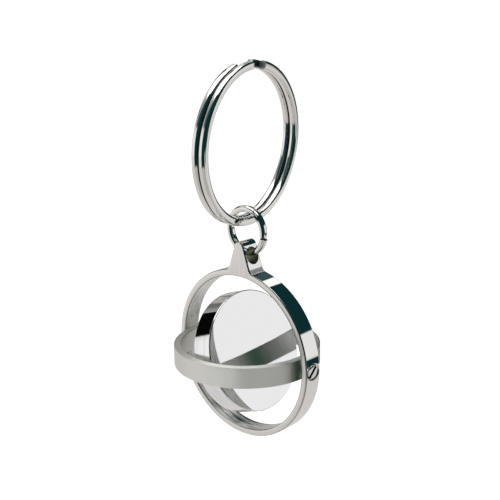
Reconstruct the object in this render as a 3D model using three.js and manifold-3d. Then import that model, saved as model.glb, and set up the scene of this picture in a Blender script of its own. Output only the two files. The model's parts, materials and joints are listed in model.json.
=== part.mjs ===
// Rotating keychain: a split ring, a jump ring and a gimbal of a frame ring, a middle ring and a disc.
// Millimetres, +Z up. The origin is the inside top of the split ring, where a hook or finger holds it.
// The frame ring hangs in the XZ plane with its front towards -Y, as in the photograph.

import * as THREE from "three";
import { mergeVertices } from "three/addons/utils/BufferGeometryUtils.js";
import Module from "manifold-3d";

const wasm = await Module();
wasm.setup();

// Split ring: one wire of two turns, side by side
const splitOuterRadius = 15.1;
const splitWireWidth = 1.29;
const splitWireHeight = 1.6;
const splitWireCorner = 0.55;
const splitTurnGap = 0.42;
const splitTurnAngle = THREE.MathUtils.degToRad(8.1);
const splitLeanAngle = THREE.MathUtils.degToRad(2.9);
const splitFirstEnd = THREE.MathUtils.degToRad(10.5);
const splitCrossStart = THREE.MathUtils.degToRad(358);
const splitCrossEnd = THREE.MathUtils.degToRad(369);
const splitLastEnd = THREE.MathUtils.degToRad(706);

// Jump ring: one turn of flattened wire, its cut ends a little out of line
const jumpOuterRadius = 4.8;
const jumpWireWidth = 1.4;
const jumpWireHeight = 1.2;
const jumpWireCorner = 0.45;
const jumpCutMiddle = THREE.MathUtils.degToRad(112);
const jumpCutGap = 0.5;
const jumpEndShift = 0.2;
const jumpHangGap = 0.45;
const jumpSlideRight = 0.3;
const jumpSlideBack = 0.2;
const wiresSlideLeft = 0.25;

// Frame ring and its lug, drilled across with walls of metal under and over the hole
const frameOuterRadius = 16.5;
const frameWall = 1.25;
const frameDepth = 3.8;
const edgeChamfer = 0.18;
const lugBaseWidth = 5.4;
const lugTopWidth = 2.3;
const lugRootFillet = 0.5;
const lugFootWall = 1.25;
const lugHoleRadius = 1.6;
const lugTopWall = 1.05;
const lugHangGap = 0.7;

// Middle ring, turning inside the frame ring with its corners clear by frameSpinGap
const frameSpinGap = 1.1;
const middleWall = 1.4;
const middleWidth = 4;

// Disc, turning inside the middle ring with its corners clear by middleSpinGap
const middleSpinGap = 0.8;
const discThickness = 4.4;
const discChamfer = 0.2;
const discTiltAngle = THREE.MathUtils.degToRad(18);

// Pivot screws, through the frame ring into the middle ring
const screwHeadRadius = 1.25;
const screwHeadHeight = 0.55;
const screwHeadSink = 0.1;
const screwShankRadius = 0.8;
const screwTipRadius = 0.5;
const screwSlotWidth = 0.42;
const screwSlotDepth = 0.3;
const screwSlotAngleRight = THREE.MathUtils.degToRad(45);
const screwSlotAngleLeft = THREE.MathUtils.degToRad(160);
const screwEdge = 0.08;
const recessFlare = 0.3;

// Disc pins, pressed into the middle ring
const pinRadius = 0.6;
const pinReach = 2.2;
const pinFlushStep = 0.05;
const pinEdge = 0.1;

// Clearances: between fixed pieces, at running pivots and beyond a pivot's end
const fitGap = 0.1;
const runGap = 0.1;
const endGap = 0.25;
const cutOverrun = 1.5;
const mergeTolerance = 1e-4;

// Facets
const ringSides = 96;
const discSides = 80;
const splitTurnSteps = 57;
const splitCrossSteps = 8;
const jumpSteps = 40;
const smallSides = 24;
const cornerSteps = 2;
const lugArcSteps = 4;

// Materials
const polishedNickel = { color: 0xc9c6c0, roughness: 0.08, metalness: 1 };
const satinNickel = { color: 0xb5b1aa, roughness: 0.38, metalness: 1 };

// Worked-out sizes
const splitInnerRadius = splitOuterRadius - splitWireHeight;
const splitWireRadius = splitOuterRadius - splitWireHeight / 2;
const splitTurnPitch = splitWireWidth + splitTurnGap;
const jumpInnerRadius = jumpOuterRadius - jumpWireHeight;
const jumpWireRadius = jumpOuterRadius - jumpWireHeight / 2;
const frameInnerRadius = frameOuterRadius - frameWall;
const lugHoleHeight = frameOuterRadius + lugFootWall + lugHoleRadius;
const lugTopHeight = lugHoleHeight + lugHoleRadius + lugTopWall;

// A band or disc that turns about its own diameter reaches as far as its corners, so each fits its ring by them
const middleOuterRadius = Math.sqrt((frameInnerRadius - frameSpinGap) ** 2 - (middleWidth / 2) ** 2);
const middleInnerRadius = middleOuterRadius - middleWall;
const discRadius = Math.sqrt((middleInnerRadius - middleSpinGap) ** 2 - (discThickness / 2) ** 2);

// The jump ring hangs with its inside clear of the pair of turns by jumpHangGap at their nearer corner
const pairCornerSide = (splitTurnPitch + splitWireWidth) / 2 - splitWireCorner + wiresSlideLeft;
const pairCornerRise = splitWireHeight / 2 - splitWireCorner;
const jumpCornerReach = jumpInnerRadius - jumpHangGap - splitWireCorner;
const jumpDrop = Math.sqrt(jumpCornerReach ** 2 - pairCornerSide ** 2) - pairCornerRise;

// The lug hangs with its hole's top lugHangGap above the jump ring's lower wire
const frameDrop = lugHoleHeight + lugHoleRadius - lugHangGap - jumpWireHeight / 2;

// Turns a closed geometry into a solid that can be joined and cut.
function solidFrom(geometry) {
  const bare = geometry.index ? geometry.toNonIndexed() : geometry.clone();
  bare.deleteAttribute("normal");
  bare.deleteAttribute("uv");
  const merged = mergeVertices(bare, mergeTolerance);
  const vertProperties = new Float32Array(merged.attributes.position.array);
  const triVerts = dropFlatTriangles(merged.index.array);
  return new wasm.Manifold(new wasm.Mesh({ numProp: 3, vertProperties, triVerts }));
}

// Leaves out the triangles that lose a corner when vertices merge, as at a lathe's poles.
function dropFlatTriangles(indices) {
  const kept = [];
  for (let i = 0; i < indices.length; i += 3) {
    const [a, b, c] = indices.slice(i, i + 3);
    if (a !== b && b !== c && c !== a) kept.push(a, b, c);
  }
  return new Uint32Array(kept);
}

// Turns a solid back into a geometry.
function geometryFrom(solid) {
  const mesh = solid.getMesh();
  const positions = new Float32Array(mesh.numVert * 3);
  for (let i = 0; i < mesh.numVert; i += 1) {
    for (let axis = 0; axis < 3; axis += 1) {
      positions[i * 3 + axis] = mesh.vertProperties[i * mesh.numProp + axis];
    }
  }
  const geometry = new THREE.BufferGeometry();
  geometry.setAttribute("position", new THREE.BufferAttribute(positions, 3));
  geometry.setIndex(new THREE.BufferAttribute(new Uint32Array(mesh.triVerts), 1));
  return geometry;
}

// Names a mesh and gives it its own material.
function piece(name, geometry, finish) {
  const shown = geometry.index ? geometry.toNonIndexed() : geometry;
  shown.computeVertexNormals();
  const mesh = new THREE.Mesh(shown, new THREE.MeshStandardMaterial(finish));
  mesh.name = name;
  return mesh;
}

// A rounded rectangle as a ring of points, counter-clockwise.
function roundedSection(width, height, corner) {
  const side = width / 2 - corner;
  const rise = height / 2 - corner;
  const quarter = Math.PI / 2;
  const outline = new THREE.Shape();
  outline.absarc(side, rise, corner, 0, quarter);
  outline.absarc(-side, rise, corner, quarter, 2 * quarter);
  outline.absarc(-side, -rise, corner, 2 * quarter, 3 * quarter);
  outline.absarc(side, -rise, corner, 3 * quarter, 4 * quarter);
  return mergedOutline(outline.getPoints(cornerSteps));
}

// Drops points of an outline that repeat the one before, and a last one that repeats the first.
function mergedOutline(points) {
  const next = (i) => points[(i + 1) % points.length];
  return points.filter((point, i) => point.distanceTo(next(i)) > mergeTolerance);
}

// The middle line of a wire wound about X: angle from +Z towards +Y, moved along X by shift(angle).
function windingPoint(radius, angle, shift) {
  return new THREE.Vector3(shift(angle), radius * Math.sin(angle), radius * Math.cos(angle));
}

// Angles from one to another in even steps, both ends among them.
function evenAngles(start, end, steps) {
  return Array.from({ length: steps + 1 }, (unused, step) => start + ((end - start) * step) / steps);
}

// A wire of the given section wound about X through the given angles, with flat cut ends.
function woundWire(section, radius, angles, shift) {
  const positions = [];
  const indices = [];
  const count = section.length;
  const steps = angles.length - 1;
  for (const angle of angles) {
    const outward = windingPoint(1, angle, () => 0);
    const centre = windingPoint(radius, angle, shift);
    for (const point of section) {
      const place = centre.clone().addScaledVector(outward, point.y);
      positions.push(place.x + point.x, place.y, place.z);
    }
  }
  for (let step = 0; step < steps; step += 1) {
    for (let i = 0; i < count; i += 1) {
      const near = step * count + i;
      const next = step * count + ((i + 1) % count);
      indices.push(near, near + count, next, next, near + count, next + count);
    }
  }
  for (let i = 1; i < count - 1; i += 1) {
    const last = steps * count;
    indices.push(0, i, i + 1);
    indices.push(last, last + i + 1, last + i);
  }
  const geometry = new THREE.BufferGeometry();
  geometry.setAttribute("position", new THREE.Float32BufferAttribute(positions, 3));
  geometry.setIndex(indices);
  return geometry;
}

// The split ring's sideways place along its wire: one turn, the crossover, then the other turn.
function splitShift(angle) {
  const crossed = THREE.MathUtils.smoothstep(angle, splitCrossStart, splitCrossEnd);
  return splitTurnPitch * (1 / 2 - crossed);
}

// The least air between the two turns, measured on points of the wire's surface.
function leastSplitGap(section) {
  const full = 2 * Math.PI;
  const near = 2 * (splitCrossEnd - splitCrossStart);
  const step = (splitCrossEnd - splitCrossStart) / (2 * splitCrossSteps);
  let least = Infinity;
  for (let angle = splitFirstEnd; angle + full <= splitLastEnd; angle += step) {
    const air = Math.abs(splitShift(angle) - splitShift(angle + full)) - splitWireWidth;
    least = Math.min(least, air);
  }
  const endFaces = [
    [splitFirstEnd, full],
    [splitLastEnd, -full],
  ];
  for (const [endAngle, turn] of endFaces) {
    for (let angle = endAngle + turn - near; angle < endAngle + turn + near; angle += step) {
      if (angle < splitFirstEnd || angle > splitLastEnd) continue;
      least = Math.min(least, sectionGap(section, endAngle, angle));
    }
  }
  return least;
}

// The least distance between two sections of the split ring's wire.
function sectionGap(section, angleA, angleB) {
  const ringA = sectionPoints(section, angleA);
  const ringB = sectionPoints(section, angleB);
  return Math.min(...ringA.map((a) => Math.min(...ringB.map((b) => a.distanceTo(b)))));
}

function sectionPoints(section, angle) {
  const outward = windingPoint(1, angle, () => 0);
  const centre = windingPoint(splitWireRadius, angle, splitShift);
  return section.map((point) => {
    const place = centre.clone().addScaledVector(outward, point.y);
    place.x += point.x;
    return place;
  });
}

function makeSplitRing() {
  const section = roundedSection(splitWireWidth, splitWireHeight, splitWireCorner);
  console.log(`split ring: least gap between turns ${leastSplitGap(section).toFixed(2)} mm`);
  const angles = [
    ...evenAngles(splitFirstEnd, splitCrossStart, splitTurnSteps),
    ...evenAngles(splitCrossStart, splitCrossEnd, splitCrossSteps).slice(1),
    ...evenAngles(splitCrossEnd, splitLastEnd, splitTurnSteps).slice(1),
  ];
  const wire = woundWire(section, splitWireRadius, angles, splitShift);
  return piece("split_ring", wire, polishedNickel);
}

// The jump ring lies in the XZ plane, with its cut low on the +X side.
function makeJumpRing() {
  const section = roundedSection(jumpWireWidth, jumpWireHeight, jumpWireCorner);
  const halfCut = jumpCutGap / 2 / jumpWireRadius;
  const start = jumpCutMiddle + halfCut - 2 * Math.PI;
  const end = jumpCutMiddle - halfCut;
  const middle = (start + end) / 2;
  const shift = (angle) => (jumpEndShift * (angle - middle)) / (end - start);
  const wire = woundWire(section, jumpWireRadius, evenAngles(start, end, jumpSteps), shift);
  wire.rotateZ(-Math.PI / 2);
  return piece("jump_ring", wire, polishedNickel);
}

// A band's profile for a lathe: a rectangle with chamfered corners.
function bandProfile(inner, outer, width, chamfer) {
  const half = width / 2;
  const corners = [
    [inner + chamfer, -half],
    [outer - chamfer, -half],
    [outer, -half + chamfer],
    [outer, half - chamfer],
    [outer - chamfer, half],
    [inner + chamfer, half],
    [inner, half - chamfer],
    [inner, -half + chamfer],
  ];
  corners.push(corners[0]);
  return corners.map(([radius, height]) => new THREE.Vector2(radius, height));
}

// A round piece on the Y axis, from pairs of radius and height that start and end on the axis.
function turned(pairs, sides) {
  return new THREE.LatheGeometry(pairs.map(([radius, height]) => new THREE.Vector2(radius, height)), sides);
}

// The lug's outline, from the middle of the ring's wall up its tapered sides and over its round top.
function lugOutline() {
  const buriedRadius = frameOuterRadius - frameWall / 2;
  const half = lugBaseWidth / 2;
  const topRadius = lugTopWidth / 2;
  const topCentre = lugTopHeight - topRadius;
  const lean = Math.atan2(half - topRadius, topCentre - frameOuterRadius);
  const rootSide = half + lugRootFillet;
  const rootHeight = Math.sqrt(frameOuterRadius ** 2 - rootSide ** 2);
  const rootAngle = Math.asin(rootSide / buriedRadius);
  const sideFoot = half - lugRootFillet * Math.tan(lean);
  const sideFootHeight = frameOuterRadius + lugRootFillet;
  const shape = new THREE.Shape();
  shape.absarc(0, 0, buriedRadius, Math.PI / 2 + rootAngle, Math.PI / 2 - rootAngle, true);
  shape.lineTo(rootSide, rootHeight);
  shape.quadraticCurveTo(half, frameOuterRadius, sideFoot, sideFootHeight);
  shape.absarc(0, topCentre, topRadius, lean, Math.PI - lean, false);
  shape.lineTo(-sideFoot, sideFootHeight);
  shape.quadraticCurveTo(-half, frameOuterRadius, -rootSide, rootHeight);
  return shape;
}

// The frame ring's cutter for a pivot screw, on +X: a flared recess and a clear hole.
function screwRecess() {
  const recessRadius = screwHeadRadius + fitGap;
  const recessFloor = frameOuterRadius - screwHeadSink - screwHeadHeight - fitGap;
  const flareTop = recessRadius + recessFlare + cutOverrun;
  const cutter = turned(
    [
      [0, frameInnerRadius - cutOverrun],
      [screwShankRadius + fitGap, frameInnerRadius - cutOverrun],
      [screwShankRadius + fitGap, recessFloor],
      [recessRadius, recessFloor],
      [recessRadius, frameOuterRadius - recessFlare],
      [flareTop, frameOuterRadius + cutOverrun],
      [0, frameOuterRadius + cutOverrun],
    ],
    smallSides,
  );
  cutter.rotateZ(-Math.PI / 2);
  return cutter;
}

function makeFrameRing() {
  const band = bandProfile(frameInnerRadius, frameOuterRadius, frameDepth, edgeChamfer);
  const ring = solidFrom(new THREE.LatheGeometry(band, ringSides));
  const lug = new THREE.ExtrudeGeometry(lugOutline(), {
    depth: frameDepth - 2 * edgeChamfer,
    bevelThickness: edgeChamfer,
    bevelSize: edgeChamfer,
    bevelOffset: -edgeChamfer,
    bevelSegments: 1,
    curveSegments: lugArcSteps,
  });
  lug.translate(0, 0, edgeChamfer - frameDepth / 2);
  lug.rotateX(Math.PI / 2);
  const hole = new THREE.CylinderGeometry(lugHoleRadius, lugHoleRadius, 2 * lugBaseWidth, smallSides);
  hole.rotateZ(Math.PI / 2);
  hole.translate(0, 0, lugHoleHeight);
  const recess = screwRecess();
  const body = ring.add(solidFrom(lug)).subtract(solidFrom(hole));
  const rightCut = solidFrom(recess);
  const leftCut = solidFrom(recess.clone().rotateY(Math.PI));
  return piece("frame_ring", geometryFrom(body.subtract(rightCut).subtract(leftCut)), polishedNickel);
}

// A stepped pivot screw on +X, its head flush in the frame ring and its tip in the middle ring.
function makePivotScrew(name, slotAngle) {
  const headTop = frameOuterRadius - screwHeadSink;
  const headFoot = headTop - screwHeadHeight;
  const shoulder = middleOuterRadius + runGap;
  const tip = middleInnerRadius + endGap;
  const shaft = turned(
    [
      [0, tip],
      [screwTipRadius - screwEdge, tip],
      [screwTipRadius, tip + screwEdge],
      [screwTipRadius, shoulder],
      [screwShankRadius, shoulder],
      [screwShankRadius, headFoot],
      [screwHeadRadius, headFoot],
      [screwHeadRadius, headTop - screwEdge],
      [screwHeadRadius - screwEdge, headTop],
      [0, headTop],
    ],
    smallSides,
  );
  const slot = new THREE.BoxGeometry(screwSlotWidth, 2 * screwSlotDepth, 4 * screwHeadRadius);
  slot.translate(0, headTop, 0);
  slot.rotateY(slotAngle);
  const screw = geometryFrom(solidFrom(shaft).subtract(solidFrom(slot)));
  screw.rotateZ(-Math.PI / 2);
  return piece(name, screw, polishedNickel);
}

// A plain bore cutter along Y between two places.
function boreCutter(radius, from, to) {
  const cutter = new THREE.CylinderGeometry(radius, radius, to - from, smallSides);
  cutter.translate(0, (from + to) / 2, 0);
  return cutter;
}

// The middle ring lies flat, bored along X for the screws' tips and along Y for the disc's pins.
function makeMiddleRing() {
  const band = bandProfile(middleInnerRadius, middleOuterRadius, middleWidth, edgeChamfer);
  const blank = new THREE.LatheGeometry(band, ringSides);
  blank.rotateX(Math.PI / 2);
  const from = middleInnerRadius - cutOverrun;
  const to = middleOuterRadius + cutOverrun;
  let ring = solidFrom(blank);
  for (const turn of [0, Math.PI]) {
    const pinBore = boreCutter(pinRadius + fitGap, from, to).rotateZ(turn);
    const tipBore = boreCutter(screwTipRadius + runGap, from, to).rotateZ(turn + Math.PI / 2);
    ring = ring.subtract(solidFrom(pinBore)).subtract(solidFrom(tipBore));
  }
  return piece("middle_ring", geometryFrom(ring), satinNickel);
}

// A disc pin on +Y, flush in the middle ring and reaching into the disc.
function makeDiscPin(name) {
  const outer = middleOuterRadius - pinFlushStep;
  const inner = discRadius - pinReach;
  const pin = turned(
    [
      [0, inner],
      [pinRadius - pinEdge, inner],
      [pinRadius, inner + pinEdge],
      [pinRadius, outer],
      [0, outer],
    ],
    smallSides,
  );
  return piece(name, pin, satinNickel);
}

// The disc stands on edge with its axis on X, bored from both sides for the pins.
function makeDisc() {
  const half = discThickness / 2;
  const blank = turned(
    [
      [0, -half],
      [discRadius - discChamfer, -half],
      [discRadius, -half + discChamfer],
      [discRadius, half - discChamfer],
      [discRadius - discChamfer, half],
      [0, half],
    ],
    discSides,
  );
  blank.rotateZ(-Math.PI / 2);
  const from = discRadius - pinReach - endGap;
  const bore = boreCutter(pinRadius + runGap, from, discRadius + cutOverrun);
  const frontBore = bore.clone().rotateZ(Math.PI);
  const body = solidFrom(blank).subtract(solidFrom(bore)).subtract(solidFrom(frontBore));
  return piece("disc", geometryFrom(body), polishedNickel);
}

// Places the pieces as nested groups: each group hangs from the one before it.
function assemble() {
  const keychain = new THREE.Group();

  const splitHang = new THREE.Group();
  splitHang.rotation.set(0, splitLeanAngle, splitTurnAngle, "ZYX");
  const splitRing = makeSplitRing();
  splitRing.position.z = -splitInnerRadius;
  splitHang.add(splitRing);
  keychain.add(splitHang);

  const wireBelow = new THREE.Vector3(0, 0, -splitInnerRadius - splitWireRadius);
  const jumpGroup = new THREE.Group();
  jumpGroup.position.copy(wireBelow.applyEuler(splitHang.rotation));
  jumpGroup.position.x += wiresSlideLeft;
  jumpGroup.position.z -= jumpDrop;
  jumpGroup.add(makeJumpRing());
  keychain.add(jumpGroup);

  const gimbal = new THREE.Group();
  gimbal.position.set(-jumpSlideRight, -jumpSlideBack, -jumpWireRadius - frameDrop);
  gimbal.add(makeFrameRing());
  gimbal.add(makePivotScrew("pivot_screw_right", screwSlotAngleRight));
  const leftScrew = makePivotScrew("pivot_screw_left", screwSlotAngleLeft);
  leftScrew.rotation.z = Math.PI;
  gimbal.add(leftScrew);
  jumpGroup.add(gimbal);

  gimbal.add(makeMiddleRing());
  gimbal.add(makeDiscPin("disc_pin_back"));
  const frontPin = makeDiscPin("disc_pin_front");
  frontPin.rotation.z = Math.PI;
  gimbal.add(frontPin);

  const disc = makeDisc();
  disc.rotation.y = -discTiltAngle;
  gimbal.add(disc);
  return keychain;
}

export default assemble();
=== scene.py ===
import json
import math

import bmesh
import bpy
from mathutils import Matrix, Vector


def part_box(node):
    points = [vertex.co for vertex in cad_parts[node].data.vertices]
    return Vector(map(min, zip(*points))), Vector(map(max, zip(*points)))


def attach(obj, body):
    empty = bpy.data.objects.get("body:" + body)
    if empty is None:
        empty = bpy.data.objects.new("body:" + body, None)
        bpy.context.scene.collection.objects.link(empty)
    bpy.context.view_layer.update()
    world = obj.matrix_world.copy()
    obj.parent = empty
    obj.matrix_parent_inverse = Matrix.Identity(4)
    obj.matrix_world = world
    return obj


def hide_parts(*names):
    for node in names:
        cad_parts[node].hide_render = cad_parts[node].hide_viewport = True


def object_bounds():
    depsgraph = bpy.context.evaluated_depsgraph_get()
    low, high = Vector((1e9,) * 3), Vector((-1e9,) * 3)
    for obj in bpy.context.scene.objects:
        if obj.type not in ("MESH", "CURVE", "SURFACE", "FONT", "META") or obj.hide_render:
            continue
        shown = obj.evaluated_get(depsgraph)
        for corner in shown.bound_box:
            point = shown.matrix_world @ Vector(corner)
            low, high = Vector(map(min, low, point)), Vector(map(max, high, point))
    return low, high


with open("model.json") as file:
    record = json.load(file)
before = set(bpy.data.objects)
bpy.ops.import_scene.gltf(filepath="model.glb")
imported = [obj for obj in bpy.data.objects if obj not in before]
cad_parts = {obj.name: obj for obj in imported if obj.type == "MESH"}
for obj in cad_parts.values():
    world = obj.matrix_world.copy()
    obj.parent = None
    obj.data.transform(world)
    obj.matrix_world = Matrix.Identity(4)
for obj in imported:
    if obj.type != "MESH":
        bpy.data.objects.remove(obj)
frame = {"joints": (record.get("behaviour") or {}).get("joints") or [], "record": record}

mm = 0.001
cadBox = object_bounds()
joints = {joint["name"]: joint for joint in frame["joints"]}
gimbalCentre = Vector(joints["gimbal_spin"]["pos_m"])


# The Mix node repeats its sockets' names for each kind of value, so its colours go by number
colourSockets = {"share": 0, "first": 6, "second": 7, "result": 2}


# Node trees: add() makes any node, with its settings first and then its sockets
class Tree:
    def __init__(self, tree):
        self.tree = tree
        tree.nodes.clear()

    def add(self, kind, settings=None, sockets=None, output=0):
        node = self.tree.nodes.new(kind)
        for name, value in (settings or {}).items():
            setattr(node, name, value)
        for name, value in (sockets or {}).items():
            if isinstance(value, Flow):
                self.tree.links.new(value.socket, node.inputs[name])
            else:
                node.inputs[name].default_value = value
        return Flow(self, node.outputs[output]) if node.outputs else node

    def maths(self, operation, *values):
        return self.add("ShaderNodeMath", {"operation": operation}, dict(enumerate(values)))

    def ramp(self, value, source, target=(0.0, 1.0), shape="LINEAR"):
        return self.add("ShaderNodeMapRange", {"interpolation_type": shape},
                        {"Value": value, "From Min": source[0], "From Max": source[1],
                         "To Min": target[0], "To Max": target[1]})

    def mix(self, first, second, share):
        sockets = {colourSockets["first"]: first, colourSockets["second"]: second,
                   colourSockets["share"]: share}
        return self.add("ShaderNodeMix", {"data_type": "RGBA"}, sockets, colourSockets["result"])


# A socket that can be added, subtracted, multiplied and divided like a number
class Flow:
    def __init__(self, maker, socket):
        self.maker = maker
        self.socket = socket

    def out(self, name):
        return Flow(self.maker, self.socket.node.outputs[name])

    def __add__(self, other):
        return self.maker.maths("ADD", self, other)

    def __radd__(self, other):
        return self.maker.maths("ADD", other, self)

    def __sub__(self, other):
        return self.maker.maths("SUBTRACT", self, other)

    def __rsub__(self, other):
        return self.maker.maths("SUBTRACT", other, self)

    def __mul__(self, other):
        return self.maker.maths("MULTIPLY", self, other)

    def __rmul__(self, other):
        return self.maker.maths("MULTIPLY", other, self)

    def __truediv__(self, other):
        return self.maker.maths("DIVIDE", self, other)

    def __rtruediv__(self, other):
        return self.maker.maths("DIVIDE", other, self)


def vector(tree, x, y, z):
    return tree.add("ShaderNodeCombineXYZ", None, {"X": x, "Y": y, "Z": z})


# A value between two ends, for a number or a node's output from 0 to 1
def between(ends, share):
    return ends[0] + (ends[1] - ends[0]) * share


# The camera looks from the photograph's side, right of the front and a little above
cameraSettings = {
    "azimuth": 43.32,
    "elevation": 15.5,
    "roll": -0.86,
    "distance": 198 * mm,
    "aimRight": 0.545 * mm,
    "aimUp": 19.34 * mm,
    "lens": 74.16,
    "clipStart": 10 * mm,
}


def makeCamera(look):
    turn, rise, roll = (math.radians(look[name]) for name in ("azimuth", "elevation", "roll"))
    right = Vector((math.cos(turn), math.sin(turn), 0))
    level = math.cos(rise)
    back = Vector((math.sin(turn) * level, -math.cos(turn) * level, math.sin(rise)))
    up = back.cross(right)
    rolledRight = math.cos(roll) * right + math.sin(roll) * up
    rolledUp = math.cos(roll) * up - math.sin(roll) * right
    place = gimbalCentre + look["distance"] * back
    place += look["aimRight"] * rolledRight + look["aimUp"] * rolledUp
    data = bpy.data.cameras.new("camera")
    data.lens = look["lens"]
    data.clip_start = look["clipStart"]
    camera = bpy.data.objects.new("camera", data)
    camera.matrix_world = Matrix((rolledRight, rolledUp, back)).transposed().to_4x4()
    camera.matrix_world.translation = place
    bpy.context.scene.collection.objects.link(camera)
    bpy.context.scene.camera = camera


makeCamera(cameraSettings)
print("camera placed")


# A spun metal piece's own directions, for marks that run round it: its centre at 0, its axis on Z
def spunPlace(tree, centre, turn):
    coordinates = tree.add("ShaderNodeTexCoord").out("Object")
    moved = tree.add("ShaderNodeMapping", {"vector_type": "TEXTURE"},
                     {"Vector": coordinates, "Location": centre, "Rotation": turn})
    split = tree.add("ShaderNodeSeparateXYZ", None, {"Vector": moved})
    x, y, axial = split, split.out("Y"), split.out("Z")
    radius = tree.maths("SQRT", x * x + y * y)
    return {"axial": axial, "radius": radius, "cosine": x / radius, "sine": y / radius,
            "plain": moved}


# What all the metals share: blotches break up the scratches, and streaks, a painted dark reflection
# on the frame, grow stronger lower on a wall
metalPattern = {
    "lineDetail": 4.0,
    "lineRoughness": 0.6,
    "lineShare": 0.7,
    "lineTone": (0.4, 1.0),
    "grooveDetail": 2.0,
    "blotchScale": 420.0,
    "blotchDetail": 3.0,
    "blotchRange": (0.5, 0.7),
    "scratchScale": 700.0,
    "scratchWidth": 0.012,
    "streakRise": (0.05, -0.35),
    "brushingTurn": 0.25,
}


# Fine lines that follow the turning: thin across, long round the piece
def spunLines(tree, place, across, along, detail):
    lines = vector(tree, place["axial"] * across, place["radius"] * across, place["cosine"] * along)
    return tree.add("ShaderNodeTexNoise", {"noise_dimensions": "4D"},
                    {"Vector": lines, "W": place["sine"] * along, "Scale": 1.0, "Detail": detail,
                     "Roughness": metalPattern["lineRoughness"]})


# Pairs are ends that a pattern moves between. lines and grooveLines count the marks in a metre
# across, and round and grooveRound stretch them round the piece. Streaks fade in along streakSide,
# a pair of cosines, or go all round without it.
metalLook = {
    "polished_wire": {
        "colour": (0.82, 0.81, 0.785), "shade": (0.74, 0.73, 0.70), "rough": (0.025, 0.07),
        "lines": 26000, "round": 14, "bump": 0.0003 * mm, "scratch": 0.06,
        "faceColour": (0.78, 0.84, 0.84), "faceRough": (0.35, 0.45),
        # paintedShadeColour: painted shade in the grooves between the split ring's turns
        "paintedShadeColour": (0.14, 0.14, 0.115), "paintedShadeRough": 0.3,
    },
    "polished_frame": {
        "colour": (0.83, 0.82, 0.80), "shade": (0.77, 0.76, 0.74), "rough": (0.02, 0.05),
        "lines": 14000, "round": 10, "bump": 0.0001 * mm, "scratch": 0.05,
        "grooves": 0.02 * mm, "grooveLines": 3800, "grooveRound": 2.2,
        "turnedRough": (0.20, 0.36), "turnedMetal": 0.6,
        # streakColour: dark teal streaks, a painted reflection of the dark room, stronger lower on
        # the inner wall
        "streakColour": (0.03, 0.06, 0.05), "streakAmount": (0.12, 1.0),
        "streakRange": (0.49, 0.55), "streakSide": (-0.35, -0.1),
        "faceColour": (0.80, 0.785, 0.765), "faceRough": (0.24, 0.34),
        # paintedShadeColour: painted shade in the screw recesses and the lug's hole, and painted
        # dark lines along the face edges
        "paintedShadeColour": (0.20, 0.215, 0.155), "paintedShadeRough": 0.35,
    },
    "screw_metal": {
        "colour": (0.80, 0.79, 0.76), "shade": (0.72, 0.71, 0.69), "rough": (0.06, 0.14),
        "lines": 40000, "round": 6, "bump": 0.0008 * mm, "scratch": 0.08,
        # paintedShadeColour: painted shade in the screw slot
        "paintedShadeColour": (0.02, 0.02, 0.018), "paintedShadeRough": 0.5,
    },
    "satin_ring": {
        "colour": (0.87, 0.86, 0.82), "shade": (0.79, 0.78, 0.74), "rough": (0.46, 0.56),
        "lines": 30000, "round": 9, "bump": 0.002 * mm, "scratch": 0.03,
        # paintedShadeColour: painted dark reflection of the frame ring's inner wall
        "brushing": 0.85, "paintedShadeColour": (0.16, 0.28, 0.20), "paintedShadeRough": 0.5,
    },
    "mirror_disc": {
        "colour": (0.88, 0.88, 0.88), "shade": (0.85, 0.85, 0.85), "rough": (0.01, 0.035),
        "lines": 9000, "round": 5, "bump": 0.0001 * mm, "scratch": 0.04,
        "grooves": 0.002 * mm, "grooveLines": 3500, "grooveRound": 2,
        "turnedRough": (0.01, 0.06),
        "streakColour": (0.60, 0.60, 0.58), "streakAmount": (0.35, 0.35),
        "streakRange": (0.52, 0.60),
    },
}


# Faces that differ carry a value of their own: satin faces, turned walls, and painted shade on
# recesses, slots, grooves and edges, and painted dark reflections
def faceValue(tree, name):
    return tree.add("ShaderNodeAttribute", {"attribute_name": name}).out("Fac")


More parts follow.
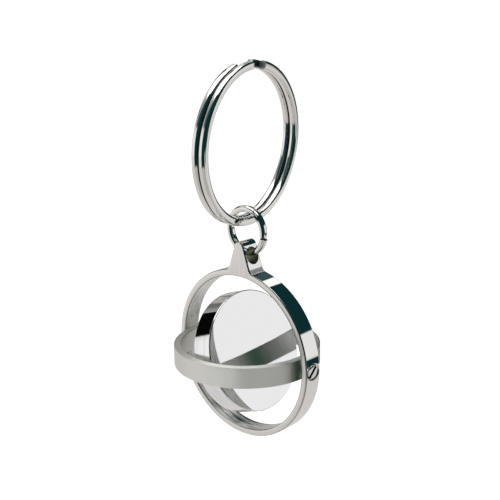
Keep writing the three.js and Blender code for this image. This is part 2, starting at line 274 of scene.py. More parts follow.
def makeMetal(name, look, centre, turn):
    material = bpy.data.materials.new(name)
    material.use_nodes = True
    tree = Tree(material.node_tree)
    place = spunPlace(tree, centre, turn)
    shared = metalPattern
    lines = spunLines(tree, place, look["lines"], look["round"], shared["lineDetail"])
    blotches = tree.add("ShaderNodeTexNoise", None,
                        {"Vector": place["plain"], "Scale": shared["blotchScale"],
                         "Detail": shared["blotchDetail"]})
    scratches = tree.add("ShaderNodeTexVoronoi", {"feature": "DISTANCE_TO_EDGE"},
                         {"Vector": place["plain"], "Scale": shared["scratchScale"]})
    scratched = tree.ramp(scratches, (0.0, shared["scratchWidth"]), (1.0, 0.0), "SMOOTHSTEP")
    broken = tree.ramp(blotches, shared["blotchRange"])
    wear = shared["lineShare"] * lines + (1 - shared["lineShare"]) * blotches
    rough = between(look["rough"], wear) + scratched * broken * look["scratch"]
    tone = tree.mix((*look["shade"], 1), (*look["colour"], 1), between(shared["lineTone"], lines))
    height = lines * look["bump"]
    metal = 1.0
    if "grooves" in look:
        grooves = spunLines(tree, place, look["grooveLines"], look["grooveRound"],
                            shared["grooveDetail"])
        turned = faceValue(tree, "turnedFace")
        height = height + grooves * look["grooves"] * turned
        if "turnedMetal" in look:
            metal = 1 - turned * (1 - look["turnedMetal"])
        rough = rough * (1 - turned) + turned * between(look["turnedRough"], grooves)
        # Streaks along the turning lines; on the frame their dark teal colour is a painted
        # reflection of the dark room, stronger lower on the wall and on one side
        streaks = tree.ramp(grooves, look["streakRange"], shape="SMOOTHSTEP")
        amount = tree.ramp(place["sine"], shared["streakRise"], look["streakAmount"])
        if "streakSide" in look:
            amount = amount * tree.ramp(place["cosine"], look["streakSide"])
        tone = tree.mix(tone, (*look["streakColour"], 1), turned * streaks * amount)
    if "faceColour" in look:
        satin = faceValue(tree, "satinFace")
        tone = tree.mix(tone, (*look["faceColour"], 1), satin)
        rough = rough * (1 - satin) + satin * between(look["faceRough"], lines)
    # Painted shade and painted dark reflections: the marked faces take a dark colour and roughness
    # of their own
    if "paintedShadeColour" in look:
        dark = faceValue(tree, "paintedShadeFace")
        tone = tree.mix(tone, (*look["paintedShadeColour"], 1), dark)
        rough = rough * (1 - dark) + dark * look["paintedShadeRough"]
    bump = tree.add("ShaderNodeBump", None, {"Height": height, "Distance": 1.0, "Strength": 1.0})
    shader = tree.add("ShaderNodeBsdfPrincipled", None,
                      {"Base Color": tone, "Roughness": rough, "Metallic": metal, "Normal": bump,
                       "Anisotropic": look.get("brushing", 0.0),
                       "Anisotropic Rotation": shared["brushingTurn"]})
    tree.add("ShaderNodeOutputMaterial", None, {"Surface": shader})
    return material


# How finely the turned shapes are divided, and the angle past which their edges stay sharp
facets = {"ringSides": 320, "screwSides": 96, "boreSides": 64, "edgeSteps": 4, "fineEdgeSteps": 3}
sharpAngle = {"wire": 50, "turned": 30}
boreOverrun = 1 * mm  # how far a drill goes past a wall


# Meshes: every piece is built on its own axis Z and then placed, so its object stays at the origin
def finishPiece(name, mesh, material, body, nodes):
    piece = bpy.data.objects.new(name, mesh)
    bpy.context.scene.collection.objects.link(piece)
    if not mesh.materials:
        mesh.materials.append(material)
    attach(piece, body)
    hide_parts(*nodes)
    print(name, "made:", len(mesh.polygons), "faces")
    return piece


# Writes a built shape to a mesh, its faces turned outwards
def meshFrom(build, mesh=None):
    mesh = mesh or bpy.data.meshes.new("work")
    bmesh.ops.recalc_face_normals(build, faces=build.faces)
    build.to_mesh(mesh)
    build.free()
    return mesh


# Joins rows of points, each row one step of the section, into a skin; a row of one point is a pole
def skin(build, rows, closed):
    made = [[build.verts.new(point) for point in row] for row in rows]
    pairs = list(zip(made, made[1:] + made[:1])) if closed else list(zip(made, made[1:]))
    for rowA, rowB in pairs:
        count = max(len(rowA), len(rowB))
        for i in range(count):
            k = (i + 1) % count
            if len(rowA) == 1:
                build.faces.new((rowA[0], rowB[k], rowB[i]))
            elif len(rowB) == 1:
                build.faces.new((rowA[i], rowA[k], rowB[0]))
            else:
                build.faces.new((rowA[i], rowA[k], rowB[k], rowB[i]))


# Turns a profile of (radius, height) pairs round Z
def spin(profile, sides, closed=False):
    rows = []
    for radius, height in profile:
        if radius == 0:
            rows.append([Vector((0, 0, height))])
            continue
        angles = (2 * math.pi * i / sides for i in range(sides))
        rows.append([Vector((radius * math.cos(a), radius * math.sin(a), height)) for a in angles])
    build = bmesh.new()
    skin(build, rows, closed)
    return meshFrom(build)


# A quarter circle of a rounded edge, from one direction to the next
def roundEdge(radius, height, corner, startAngle, steps):
    turns = (math.radians(startAngle + 90 * k / steps) for k in range(steps + 1))
    return [(radius + corner * math.cos(a), height + corner * math.sin(a)) for a in turns]


# A band's closed profile, its four edges rounded
def bandProfile(inner, outer, width, corner, steps):
    top = width / 2 - corner
    return (roundEdge(outer - corner, top, corner, 0, steps)
            + roundEdge(inner + corner, top, corner, 90, steps)
            + roundEdge(inner + corner, -top, corner, 180, steps)
            + roundEdge(outer - corner, -top, corner, 270, steps))


# Cuts one mesh from another and returns the result
def cut(mesh, *cutters):
    body = bpy.data.objects.new("body", mesh)
    bpy.context.scene.collection.objects.link(body)
    tools = []
    for cutter in cutters:
        tool = bpy.data.objects.new("tool", cutter)
        bpy.context.scene.collection.objects.link(tool)
        modifier = body.modifiers.new("cut", "BOOLEAN")
        modifier.operation = "DIFFERENCE"
        modifier.solver = "EXACT"
        modifier.object = tool
        tools.append(tool)
    result = meshOf(body)
    for thing in [body, *tools]:
        bpy.data.objects.remove(thing)
    return result


def meshOf(thing):
    graph = bpy.context.evaluated_depsgraph_get()
    mesh = bpy.data.meshes.new_from_object(thing.evaluated_get(graph), depsgraph=graph)
    thing.modifiers.clear()
    return mesh


# Smooth walls with true flats: edges past the angle stay sharp and large faces lead the shading
def shade(mesh, kind):
    for polygon in mesh.polygons:
        polygon.use_smooth = True
    mesh.set_sharp_from_angle(angle=math.radians(sharpAngle[kind]))
    body = bpy.data.objects.new("body", mesh)
    bpy.context.scene.collection.objects.link(body)
    weights = body.modifiers.new("weights", "WEIGHTED_NORMAL")
    weights.keep_sharp = True
    result = meshOf(body)
    bpy.data.objects.remove(body)
    return result


def alongAxis(centre, direction):
    turn = Vector(direction).to_track_quat("Z", "Y").to_matrix().to_4x4()
    return Matrix.Translation(centre) @ turn


def drill(radius, start, end, sides):
    return spin([(0, start), (radius, start), (radius, end), (0, end)], sides)


def placed(mesh, matrix):
    mesh.transform(matrix)
    return mesh


# Half of what a solid measures along an axis
def halfSpan(node, axis):
    low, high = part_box(node)
    return (getattr(high, axis) - getattr(low, axis)) / 2


# Gives faces a named value for the material: the share of the marked look that the test returns
def markFaces(mesh, name, test):
    marks = mesh.attributes.new(name, "FLOAT", "FACE")
    for polygon in mesh.polygons:
        marks.data[polygon.index].value = float(test(polygon.center, polygon.normal))


# Split ring and jump ring: wire wound by one geometry tree
splitRing = {
    "outerRadius": 15.085 * mm,
    "wireWidth": 1.46 * mm,
    "wireHeight": 1.585 * mm,
    "corner": 0.55 * mm,
    "turnPitch": 1.53 * mm,
    "turnAngle": 8.1,
    "leanAngle": 2.9,
    "ends": (11.2, 706),
    "cross": (357, 365.5),
    "steps": 630,
    "grooveFacing": 0.82,
    "endFacing": 0.95,
}
jumpRing = {
    "wireWidth": 1.4 * mm,
    "wireHeight": 1.2 * mm,
    "corner": 0.5 * mm,
    "outerRadius": 4.8 * mm,
    "cutMiddle": 101,
    "cutGap": 0.5 * mm,
    "endShift": 0.2 * mm,
    "steps": 160,
}
cornerPoints = 7  # in each rounded corner of a wire


# Winds a flat circle of wire and then shifts its turns sideways, with a step where they cross
def windingTree():
    group = bpy.data.node_groups.new("windWire", "GeometryNodeTree")
    face = group.interface
    for name in ("Wire Radius", "Width", "Height", "Corner", "Start", "End",
                 "Cross Start", "Cross End", "Side Step"):
        face.new_socket(name, in_out="INPUT", socket_type="NodeSocketFloat")
    face.new_socket("Steps", in_out="INPUT", socket_type="NodeSocketInt")
    face.new_socket("Finish", in_out="INPUT", socket_type="NodeSocketMaterial")
    face.new_socket("Geometry", in_out="OUTPUT", socket_type="NodeSocketGeometry")
    tree = Tree(group)
    given = tree.add("NodeGroupInput")
    steps = given.out("Steps")
    start, end = given.out("Start"), given.out("End")
    line = tree.add("GeometryNodeCurvePrimitiveLine")
    points = tree.add("GeometryNodeResampleCurve", None, {"Curve": line, "Count": steps + 1})
    angle = start + (end - start) * tree.add("GeometryNodeInputIndex") / steps
    radius = given.out("Wire Radius")
    sine, cosine = tree.maths("SINE", angle), tree.maths("COSINE", angle)
    circle = vector(tree, 0.0, radius * sine, radius * cosine)
    wound = tree.add("GeometryNodeSetPosition", None, {"Geometry": points, "Position": circle})
    noted = tree.add("GeometryNodeStoreNamedAttribute", {"data_type": "FLOAT", "domain": "POINT"},
                     {"Geometry": wound, "Name": "windAngle", "Value": angle})
    turned = tree.add("GeometryNodeSetCurveNormal", {"mode": "FREE"},
                      {"Curve": noted, "Normal": vector(tree, 0.0, sine, cosine)})
    section = tree.add("GeometryNodeCurvePrimitiveQuadrilateral", None,
                       {"Width": given.out("Height"), "Height": given.out("Width")})
    rounded = tree.add("GeometryNodeFilletCurve", {"mode": "POLY"},
                       {"Curve": section, "Radius": given.out("Corner"), "Count": cornerPoints})
    wire = tree.add("GeometryNodeCurveToMesh", None,
                    {"Curve": turned, "Profile Curve": rounded, "Fill Caps": True})
    windAngle = tree.add("GeometryNodeInputNamedAttribute", {"data_type": "FLOAT"},
                         {"Name": "windAngle"})
    crossing = (given.out("Cross Start"), given.out("Cross End"))
    crossed = tree.ramp(windAngle, crossing, (0.5, -0.5), "SMOOTHSTEP")
    aside = vector(tree, given.out("Side Step") * crossed, 0.0, 0.0)
    stepped = tree.add("GeometryNodeSetPosition", None, {"Geometry": wire, "Offset": aside})
    real = tree.add("GeometryNodeRealizeInstances", None, {"Geometry": stepped})
    finished = tree.add("GeometryNodeSetMaterial", None,
                        {"Geometry": real, "Material": given.out("Finish")})
    tree.add("NodeGroupOutput", None, {"Geometry": finished})
    return group


def windWire(group, values):
    holder = bpy.data.objects.new("holder", bpy.data.meshes.new("holder"))
    bpy.context.scene.collection.objects.link(holder)
    modifier = holder.modifiers.new("wind", "NODES")
    modifier.node_group = group
    for item in group.interface.items_tree:
        if item.in_out == "INPUT":
            modifier[item.identifier] = values[item.name]
    mesh = meshOf(holder)
    bpy.data.objects.remove(holder)
    build = bmesh.new()
    build.from_mesh(mesh)
    return meshFrom(build, mesh)


def makeSplitRing(look, group, material):
    start, end = (math.radians(a) for a in look["ends"])
    crossStart, crossEnd = (math.radians(a) for a in look["cross"])
    mesh = windWire(group, {
        "Wire Radius": look["outerRadius"] - look["wireHeight"] / 2, "Width": look["wireWidth"],
        "Height": look["wireHeight"], "Corner": look["corner"], "Start": start, "End": end,
        "Cross Start": crossStart, "Cross End": crossEnd, "Side Step": look["turnPitch"],
        "Steps": look["steps"], "Finish": material,
    })
    hang = Matrix.Rotation(math.radians(look["turnAngle"]), 4, "Z")
    hang @= Matrix.Rotation(math.radians(look["leanAngle"]), 4, "Y")
    hang @= Matrix.Translation((0, 0, look["wireHeight"] - look["outerRadius"]))
    mesh = shade(placed(mesh, hang), "wire")
    unhang = hang.inverted()

    # Painted shade: faces of one turn that face the other turn are darkened, as shade between the
    # turns
    def betweenTurns(centre, normal):
        local, facing = unhang @ centre, unhang.to_3x3() @ normal
        angle = math.degrees(math.atan2(local.y, local.z)) % 360
        towards = facing.x if local.x < 0 else -facing.x
        return towards > look["grooveFacing"] and angle < math.degrees(end) - 360

    def isCutEnd(centre, normal):
        along = (unhang @ centre).cross(Vector((1, 0, 0))).normalized()
        return abs((unhang.to_3x3() @ normal).dot(along)) > look["endFacing"]

    markFaces(mesh, "paintedShadeFace", betweenTurns)
    markFaces(mesh, "satinFace", isCutEnd)
    return finishPiece("splitRing", mesh, material, "key_ring", ["split_ring"])


def makeJumpRing(look, group, material):
    low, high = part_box("jump_ring")
    wireRadius = look["outerRadius"] - look["wireHeight"] / 2
    half = look["cutGap"] / 2 / wireRadius
    middle = math.radians(look["cutMiddle"])
    start, end = middle + half - 2 * math.pi, middle - half
    mesh = windWire(group, {
        "Wire Radius": wireRadius, "Width": look["wireWidth"], "Height": look["wireHeight"],
        "Corner": look["corner"], "Start": start, "End": end, "Cross Start": start,
        "Cross End": end, "Side Step": -look["endShift"], "Steps": look["steps"],
        "Finish": material,
    })
    turn = Matrix.Rotation(-math.pi / 2, 4, "Z")
    mesh = shade(placed(mesh, Matrix.Translation((low + high) / 2) @ turn), "wire")
    return finishPiece("jumpRing", mesh, material, "link", ["jump_ring"])


# Frame ring with its lug: one outline carried through the depth
frameRing = {
    "wall": 1.25 * mm,
    "edge": 0.24 * mm,
    # share of the painted shade on the dark lines along the face edges
    "paintedEdgeShade": 0.6,
    "lugBase": 5.4 * mm,
    "lugTop": 2.3 * mm,
    "lugFillet": 0.5 * mm,
    "footWall": 1.25 * mm,
    "holeRadius": 1.6 * mm,
    "ringSteps": 260,
    "filletSteps": 6,
    "sideSteps": 12,
    "topSteps": 24,
    "fit": 0.1 * mm,
    "flare": 0.4 * mm,
    "overrun": 1.5 * mm,
}

# How the frame ring's faces are told apart: by how far they face an axis and by shares of its sizes
frameMarks = {
    "flatFacing": 0.9,
    "wallFacing": 0.1,
    "holeReach": 1.01,
    "holeFacing": 0.2,
    "flareReach": 1.2,
    "flareFacing": (0.3, 0.95),
    "filletFoot": 0.975,
    "filletTop": 1.1,
    "pastRing": 1.001,
}


# The outline goes round once from the lug's right root: ring, left root, lug; as (across, up) pairs
def frameOutline(look, outer, top):
    half, roundTop = look["lugBase"] / 2, look["lugTop"] / 2
    fillet = look["lugFillet"]
    topCentre = top - roundTop
    lean = math.atan2(half - roundTop, topCentre - outer)
    root = (half + fillet, math.sqrt(outer ** 2 - (half + fillet) ** 2))
    foot = (half - fillet * math.tan(lean), outer + fillet)
    rootAngle = math.atan2(root[0], root[1])
    count = look["ringSteps"]
    span = 2 * math.pi - 2 * rootAngle
    angles = [rootAngle + span * i / count for i in range(count)]
    points = [(outer * math.sin(a), outer * math.cos(a)) for a in angles]
    leftSide = [(-root[0], root[1])]  # the fillet bends from here to the foot
    for k in range(1, look["filletSteps"] + 1):
        s = k / look["filletSteps"]
        across = (1 - s) ** 2 * root[0] + 2 * s * (1 - s) * half + s ** 2 * foot[0]
        up = (1 - s) ** 2 * root[1] + 2 * s * (1 - s) * outer + s ** 2 * foot[1]
        leftSide.append((-across, up))
    tip = (roundTop * math.cos(lean), topCentre + roundTop * math.sin(lean))
    for k in range(1, look["sideSteps"]):
        s = k / look["sideSteps"]
        leftSide.append((-(foot[0] + (tip[0] - foot[0]) * s), foot[1] + (tip[1] - foot[1]) * s))
    arcs = []
    for k in range(look["topSteps"] + 1):
        a = math.pi - lean - (math.pi - 2 * lean) * k / look["topSteps"]
        arcs.append((roundTop * math.cos(a), topCentre + roundTop * math.sin(a)))
    rightSide = [(-x, z) for x, z in reversed(leftSide[1:])]
    return points + leftSide + arcs + rightSide


# Moves an outline inwards along its own normals
def inset(points, amount):
    moved = []
    count = len(points)
    for i, (x, z) in enumerate(points):
        before, after = Vector(points[i - 1]), Vector(points[(i + 1) % count])
        along = (after - before).normalized()
        moved.append((x + amount * along.y, z - amount * along.x))
    return moved


def makeFrameRing(look, material):
    outer, halfDepth = halfSpan("frame_ring", "x"), halfSpan("frame_ring", "y")
    inner = outer - look["wall"]
    outline = frameOutline(look, outer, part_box("frame_ring")[1].z - gimbalCentre.z)
    edge, steps = look["edge"], facets["edgeSteps"]
    angles = [math.atan2(x, z) for x, z in outline]

    def outerWall(pull):
        return inset(outline, pull)

    def innerWall(pull):
        return [((inner + pull) * math.sin(a), (inner + pull) * math.cos(a)) for a in angles]

    # Rows go over the outer wall from front to back, and then over the inner wall to the front
    rows = []
    for way, wall in ((1, outerWall), (-1, innerWall)):
        for k in range(2 * steps + 2):
            turn = math.radians(90 * min(k, 2 * steps + 1 - k) / steps)
            level = halfDepth - edge * (1 - math.cos(turn))
            sideways = way * (level if k > steps else -level)
            rows.append([Vector((x, sideways, z)) for x, z in wall(edge * (1 - math.sin(turn)))])
    build = bmesh.new()
    skin(build, rows, closed=True)
    mesh = placed(meshFrom(build), Matrix.Translation(gimbalCentre))

    holeHeight = outer + look["footWall"] + look["holeRadius"]
    hole = drill(look["holeRadius"], -look["lugBase"], look["lugBase"], facets["screwSides"])
    placed(hole, alongAxis(gimbalCentre + Vector((0, 0, holeHeight)), (1, 0, 0)))
    screw = pivotScrew
    recessRadius = screw["headRadius"] + look["fit"]
    shankBore = screw["shankRadius"] + look["fit"]
    floor = outer - screw["headSink"] - screw["headHeight"] - look["fit"]
    recesses = []
    for way in (1, -1):
        recess = spin([
            (0, inner - look["overrun"]),
            (shankBore, inner - look["overrun"]),
            (shankBore, floor),
            (recessRadius, floor),
            (recessRadius, outer - look["flare"]),
            (recessRadius + look["flare"] + look["overrun"], outer + look["overrun"]),
            (0, outer + look["overrun"]),
        ], facets["screwSides"])
        recesses.append(placed(recess, alongAxis(gimbalCentre, (way, 0, 0))))
    mesh = shade(cut(mesh, hole, *recesses), "turned")
    nearFace = halfDepth - edge / 2
    screwReach = recessRadius + look["fit"]
    marks = frameMarks

    # Painted shade in the screw recesses and the lug's hole, and painted dark lines along the front
    # and back edges
    def paintedShadeShare(centre, normal):
        place = centre - gimbalCentre
        inRecess = (math.hypot(place.y, place.z) < screwReach
                    and inner + edge < abs(place.x) < outer - look["flare"])
        fromHole = math.hypot(place.y, place.z - holeHeight)
        inHole = (fromHole < look["holeRadius"] * marks["holeReach"]
                  and abs(normal.x) < marks["holeFacing"])
        onEdge = (abs(place.y) > nearFace - edge / 2
                  and marks["wallFacing"] < abs(normal.y) < marks["flatFacing"])
        return 1 if inRecess or inHole else look["paintedEdgeShade"] * onEdge

    def isSatin(centre, normal):
        place = centre - gimbalCentre
        least, most = marks["flareFacing"]
        onFace = abs(place.y) > nearFace and abs(normal.y) > marks["flatFacing"]
        inFlare = math.hypot(place.y, place.z) < recessRadius + look["flare"] * marks["flareReach"]
        return onFace or inFlare and least < abs(normal.x) < most

    def isTurned(centre, normal):
        place = centre - gimbalCentre
        spread = math.hypot(place.x, place.z)
        filletTop = outer + look["lugFillet"] * marks["filletTop"]
        inFillet = (outer * marks["filletFoot"] < place.z < filletTop
                    and abs(place.x) > look["lugBase"] / 2 - look["lugFillet"]
                    and spread > outer * marks["pastRing"])
        return (abs(spread - inner) < edge / 4 or inFillet) and abs(normal.y) < marks["wallFacing"]

    markFaces(mesh, "satinFace", isSatin)
    markFaces(mesh, "turnedFace", isTurned)
    markFaces(mesh, "paintedShadeFace", paintedShadeShare)
    return finishPiece("frameRing", mesh, material, "frame", ["frame_ring"])


# Pivot screws
pivotScrew = {
    "headRadius": 1.25 * mm,
    "headHeight": 0.55 * mm,
    "headSink": 0.1 * mm,
    "shankRadius": 0.8 * mm,
    "tipRadius": 0.5 * mm,
    "slotWidth": 0.62 * mm,
    "slotDepth": 0.4 * mm,
    "edge": 0.08 * mm,
    "run": 0.1 * mm,
    "tipGap": 0.25 * mm,
    "slotAngles": {"right": 135, "left": 160},
}

# Middle ring: its painted dark reflections of the frame ring's inner wall are given by the wall,
# the middle and the half width, in degrees from X
middleRing = {
    "wall": 1.4 * mm,
    "edge": 0.18 * mm,
    "paintedReflections": [("inner", 33, 24), ("outer", -5.5, 7.5)],
}
discPin = {
    "radius": 0.6 * mm,
    "reach": 2.2 * mm,
    "blind": 0.35 * mm,
    "fit": 0.02 * mm,
    "edge": 0.1 * mm,
}
discLook = {"edge": 0.2 * mm, "run": 0.1 * mm, "pinGap": 0.25 * mm, "rimFacing": 0.1}


def middleSizes():
    outer = halfSpan("middle_ring", "x")
    return {"outer": outer, "inner": outer - middleRing["wall"],
            "width": 2 * halfSpan("middle_ring", "z")}


def makeScrew(name, node, way, slotAngle, look, material):
    middle = middleSizes()
    top = halfSpan("frame_ring", "x") - look["headSink"]
    foot = top - look["headHeight"]
    shoulder = middle["outer"] + look["run"]
    tip = middle["inner"] + look["tipGap"]
    edge, steps = look["edge"], facets["fineEdgeSteps"]
    profile = [(0, tip)]
    profile += roundEdge(look["tipRadius"] - edge, tip + edge, edge, 270, steps)
    profile += [(look["tipRadius"], shoulder), (look["shankRadius"], shoulder),
                (look["shankRadius"], foot), (look["headRadius"], foot)]
    profile += roundEdge(look["headRadius"] - edge, top - edge, edge, 0, steps)
    profile += [(0, top)]
    screw = spin(profile, facets["screwSides"])
    half, reach, floor = look["slotWidth"] / 2, 2 * look["headRadius"], top - look["slotDepth"]
    build = bmesh.new()
    for x in (-half, half):
        for y in (-reach, reach):
            for z in (floor, top + look["slotDepth"]):
                build.verts.new(Vector((x, y, z)))
    bmesh.ops.convex_hull(build, input=build.verts)
    turn = math.radians(slotAngle)
    slotCutter = placed(meshFrom(build), Matrix.Rotation(turn, 4, "Z"))
    mesh = shade(cut(screw, slotCutter), "turned")
    across = Vector((math.cos(turn), math.sin(turn), 0))

    # Painted shade: the slot's walls and floor are darkened
    def isSlot(centre, normal):
        inside = abs(centre.dot(across)) < half + edge / 4
        return inside and floor - edge / 4 < centre.z < top - edge / 4

    markFaces(mesh, "paintedShadeFace", isSlot)
    placed(mesh, alongAxis(gimbalCentre, (way, 0, 0)))
    return finishPiece(name, mesh, material, "frame", [node])


def makeMiddleRing(look, material):
    size = middleSizes()
    screw, pin = pivotScrew, discPin
    profile = bandProfile(size["inner"], size["outer"], size["width"], look["edge"],
                          facets["edgeSteps"])
    band = placed(spin(profile, facets["ringSides"], True), Matrix.Translation(gimbalCentre))
    start = size["inner"] - boreOverrun
    holes = [((way, 0, 0), screw["tipRadius"] + screw["run"], size["outer"] + boreOverrun)
             for way in (1, -1)]
    holes += [((0, way, 0), pin["radius"] + pin["fit"], size["outer"] - pin["blind"])
              for way in (1, -1)]
    cutters = []
    for direction, radius, end in holes:
        bore = drill(radius, start, end, facets["boreSides"])
        cutters.append(placed(bore, alongAxis(gimbalCentre, direction)))
    mesh = shade(cut(band, *cutters), "turned")

    # Painted dark reflection of the frame ring's inner wall, fading out with a squared cosine
    def paintedReflectionShare(centre, normal):
        place = centre - gimbalCentre
        radius, angle = math.hypot(place.x, place.y), math.degrees(math.atan2(place.y, place.x))
        share = 0
        for side, middle, half in look["paintedReflections"]:
            if abs(radius - size[side]) < look["edge"] / 4 and abs(angle - middle) < half:
                share = math.cos(math.radians(90 * (angle - middle) / half)) ** 2
        return share

    markFaces(mesh, "paintedShadeFace", paintedReflectionShare)
    return finishPiece("middleRing", mesh, material, "gimbal", ["middle_ring"])


def makeDiscPin(name, node, way, look, material):
    inner = halfSpan("disc", "y") - look["reach"]
    outer = middleSizes()["outer"] - look["blind"] - look["fit"]
    edge = look["edge"]
    profile = [(0, inner)]
    profile += roundEdge(look["radius"] - edge, inner + edge, edge, 270, facets["fineEdgeSteps"])
    profile += [(look["radius"], outer), (0, outer)]
    mesh = shade(spin(profile, facets["boreSides"]), "turned")
    placed(mesh, alongAxis(gimbalCentre, (0, way, 0)))
    return finishPiece(name, mesh, material, "gimbal", [node])


def discAxis():
    mounts = {mount["name"]: mount for mount in frame["record"]["mounts"]}
    right, left = (Vector(mounts[name]["pos_m"]) for name in ("disc_face_right", "disc_face_left"))
    return Vector(mounts["disc_face_right"]["axis"]), (right - left).length


def makeDisc(look, material):
    radius = halfSpan("disc", "y")
    axis, thickness = discAxis()
    edge, steps = look["edge"], facets["edgeSteps"]
    half = thickness / 2
    profile = [(0, -half)] + roundEdge(radius - edge, -half + edge, edge, 270, steps)
    profile += roundEdge(radius - edge, half - edge, edge, 0, steps) + [(0, half)]
    disc = placed(spin(profile, facets["ringSides"]), alongAxis(gimbalCentre, axis))
    start, end = radius - discPin["reach"] - look["pinGap"], radius + boreOverrun
    cutters = []
    for way in (1, -1):
        bore = drill(discPin["radius"] + look["run"], start, end, facets["boreSides"])
        cutters.append(placed(bore, alongAxis(gimbalCentre, (0, way, 0))))
    mesh = shade(cut(disc, *cutters), "turned")
    markFaces(mesh, "turnedFace", lambda centre, normal: abs(normal.dot(axis)) < look["rimFacing"])
    return finishPiece("disc", mesh, material, "medallion", ["disc"])


# Euler turn that brings a pattern's Z onto a piece's axis
def axisTurn(direction):
    return tuple(Vector(direction).to_track_quat("Z", "Y").to_euler())


ringAxis = Vector(joints["link_swing"]["axis"]).cross(Vector((0, 0, 1)))
splitLow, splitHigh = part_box("split_ring")
jumpLow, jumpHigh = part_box("jump_ring")
# A metal's name, its look, and the centre and axis that its marks run round
metals = {}
for part, name, slot, centre, axis in (
    ("splitWire", "splitWireNickel", "polished_wire", (splitLow + splitHigh) / 2, ringAxis),
    ("jumpWire", "jumpWireNickel", "polished_wire", (jumpLow + jumpHigh) / 2, (0, 1, 0)),
    ("frame", "framePolish", "polished_frame", gimbalCentre, (0, 1, 0)),
    ("screw", "screwNickel", "screw_metal", gimbalCentre, (1, 0, 0)),
    ("middle", "middleSatin", "satin_ring", gimbalCentre, (0, 0, 1)),
    ("pin", "pinSatin", "satin_ring", gimbalCentre, (0, 1, 0)),
    ("disc", "discMirror", "mirror_disc", gimbalCentre, discAxis()[0]),
):
    metals[part] = makeMetal(name, metalLook[slot], centre, axisTurn(axis))
print("metals made")

winding = windingTree()
makeSplitRing(splitRing, winding, metals["splitWire"])
makeJumpRing(jumpRing, winding, metals["jumpWire"])
makeFrameRing(frameRing, metals["frame"])
for name, way in (("right", 1), ("left", -1)):
    makeScrew(f"pivotScrew{name.title()}", f"pivot_screw_{name}", way,
              pivotScrew["slotAngles"][name], pivotScrew, metals["screw"])
makeMiddleRing(middleRing, metals["middle"])
for name, way in (("front", -1), ("back", 1)):
    makeDiscPin(f"discPin{name.title()}", f"disc_pin_{name}", way, discPin, metals["pin"])
makeDisc(discLook, metals["disc"])


# Studio: a white floor and surround for the eye, and patches of a dark and light room that only
# the polish sees. A patch's azimuth runs from the back towards the right, from and to; then its
# elevation, from and to; its blur; and its colour.
teal = (0.004, 0.030, 0.034)
studio = {
    "floorDrop": 45 * mm,
    "floorSize": 12.0,
    "floorColour": (0.82, 0.82, 0.82),
    "floorLift": 0.42,
    "plainLight": 0.75,
    "table": (0.71, 0.69, 0.68),
    "patches": [
        (-180, 180, -21, 95, 2, (0.80, 0.79, 0.77)),
        (45, 200, -62, -24, 6, (0.52, 0.50, 0.48)),
        (-180, 180, 52, 95, 2, (2.2, 2.2, 2.2)),
        (34, 52, -7.5, 15.5, 1, (0.93, 0.93, 0.94)),
        (37, 62, -16.5, -9.3, 0.6, teal),
        (53, 92, -12, 66, 2, teal),
        (88, 204, -25, 68, 2, teal),
        (-164, -139, 21, 64, 3, (0.05, 0.09, 0.10)),
        (-139, -120, 27, 52, 6, (0.32, 0.33, 0.33)),
        (-156, -120, -10, 14, 3, (0.95, 0.95, 0.95)),
        (-117, -83, 12, 29, 1, (0.002, 0.002, 0.002)),
        (-83, -66, 12, 27, 2, (0.30, 0.30, 0.29)),
        (-82, -58, 27, 50, 3, (0.10, 0.10, 0.09)),
        (-76, -52, -4, 24, 3, (0.16, 0.17, 0.16)),
        (-52, -44, -16, 26, 2, (0.50, 0.50, 0.48)),
        (-40, 24, -12, 46, 3, (0.012, 0.026, 0.026)),
        (-44, -24, 27, 50, 2, (0.045, 0.085, 0.10)),
        (-13, 54, 15.5, 58, 1, teal),
        (-23, -11, 37, 52, 0.8, (1.2, 1.2, 1.2)),
    ],
    "lamps": {
        "key": {"size": 0.5, "power": 2.2, "place": (-0.5, -0.6, 0.75), "only": []},
        "ringFill": {
            "size": 0.5, "power": 0.54, "place": (0.02, -0.42, -0.10), "only": ["middleRing"],
        },
        "ringFillRight": {
            "size": 0.8, "power": 0.6, "place": (0.47, -0.20, -0.12), "only": ["middleRing"],
        },
    },
}


# One inside the range, nothing outside, with a soft edge at both ends
def within(tree, offset, half, blur):
    size = tree.maths("ABSOLUTE", offset)
    return tree.ramp(size, (half - blur, half + blur), (1.0, 0.0), "SMOOTHSTEP")


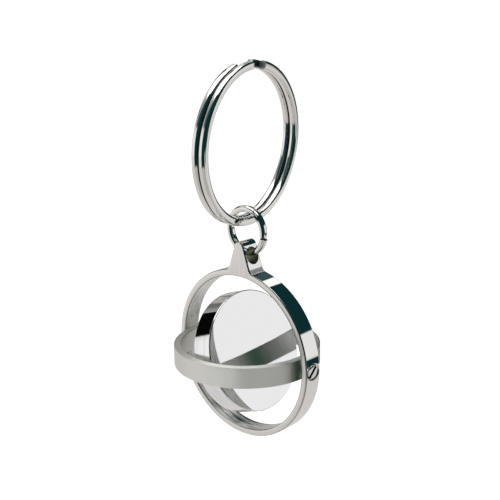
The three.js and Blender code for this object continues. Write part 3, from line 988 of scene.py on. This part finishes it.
def makeWorld(look):
    world = bpy.data.worlds.new("studio")
    world.use_nodes = True
    bpy.context.scene.world = world
    tree = Tree(world.node_tree)
    direction = tree.add("ShaderNodeSeparateXYZ", None,
                         {"Vector": tree.add("ShaderNodeTexCoord").out("Generated")})
    azimuth = tree.maths("DEGREES", tree.maths("ARCTAN2", direction, direction.out("Y")))
    elevation = tree.maths("DEGREES", tree.maths("ARCSINE", direction.out("Z")))
    room = (*look["table"], 1)
    for patch in look["patches"]:
        left, right, low, high, blur, tone = patch
        aside = tree.maths("WRAP", azimuth - (left + right) / 2, 180.0, -180.0)
        allRound = blur if right - left == 360 else 0  # so that a full circle has no seam
        inside = (within(tree, aside, (right - left) / 2 + allRound, blur)
                  * within(tree, elevation - (low + high) / 2, (high - low) / 2, blur))
        room = tree.mix(room, (*tone, 1), inside)
    path = tree.add("ShaderNodeLightPath")
    seen = tree.maths("MAXIMUM", path.out("Is Camera Ray"), path.out("Is Transmission Ray"))
    mirrored = tree.mix((look["plainLight"],) * 3 + (1,), room, path.out("Is Glossy Ray"))
    shown = tree.mix(mirrored, (1, 1, 1, 1), seen)
    background = tree.add("ShaderNodeBackground", None, {"Color": shown, "Strength": 1.0})
    tree.add("ShaderNodeOutputWorld", None, {"Surface": background})


def makeFloor(look):
    low, high = cadBox
    half = look["floorSize"] / 2
    level = low.z - look["floorDrop"]
    build = bmesh.new()
    corners = [build.verts.new((x * half, y * half, level))
               for x, y in ((-1, -1), (1, -1), (1, 1), (-1, 1))]
    build.faces.new(corners)
    mesh = bpy.data.meshes.new("floor")
    build.to_mesh(mesh)
    build.free()
    material = bpy.data.materials.new("floorPaper")
    material.use_nodes = True
    tree = Tree(material.node_tree)
    paper = tree.add("ShaderNodeBsdfDiffuse", None, {"Color": (*look["floorColour"], 1)})
    path = tree.add("ShaderNodeLightPath")
    lift = tree.add("ShaderNodeEmission", None,
                    {"Color": (1, 1, 1, 1),
                     "Strength": look["floorLift"] * path.out("Is Camera Ray")})
    both = tree.add("ShaderNodeAddShader", None, {0: paper, 1: lift})
    tree.add("ShaderNodeOutputMaterial", None, {"Surface": both})
    mesh.materials.append(material)
    floor = bpy.data.objects.new("floor", mesh)
    bpy.context.scene.collection.objects.link(floor)
    floor.visible_glossy = False


# A lamp with pieces of its own lights only those, as a card held close to them would
def makeLamp(name, look):
    data = bpy.data.lights.new(name, "AREA")
    data.shape = "DISK"
    data.size = look["size"]
    data.energy = look["power"]
    lamp = bpy.data.objects.new(name, data)
    place = gimbalCentre + Vector(look["place"])
    lamp.matrix_world = alongAxis(place, place - gimbalCentre)
    bpy.context.scene.collection.objects.link(lamp)
    lamp.visible_camera = False
    if look["only"]:
        lit = bpy.data.collections.new(name)
        for piece in look["only"]:
            lit.objects.link(bpy.data.objects[piece])
        lamp.light_linking.receiver_collection = lit
    else:
        lamp.visible_glossy = False


makeWorld(studio)
makeFloor(studio)
for name, look in studio["lamps"].items():
    makeLamp(name, look)
bpy.context.scene.view_settings.view_transform = "Standard"
print("studio made")
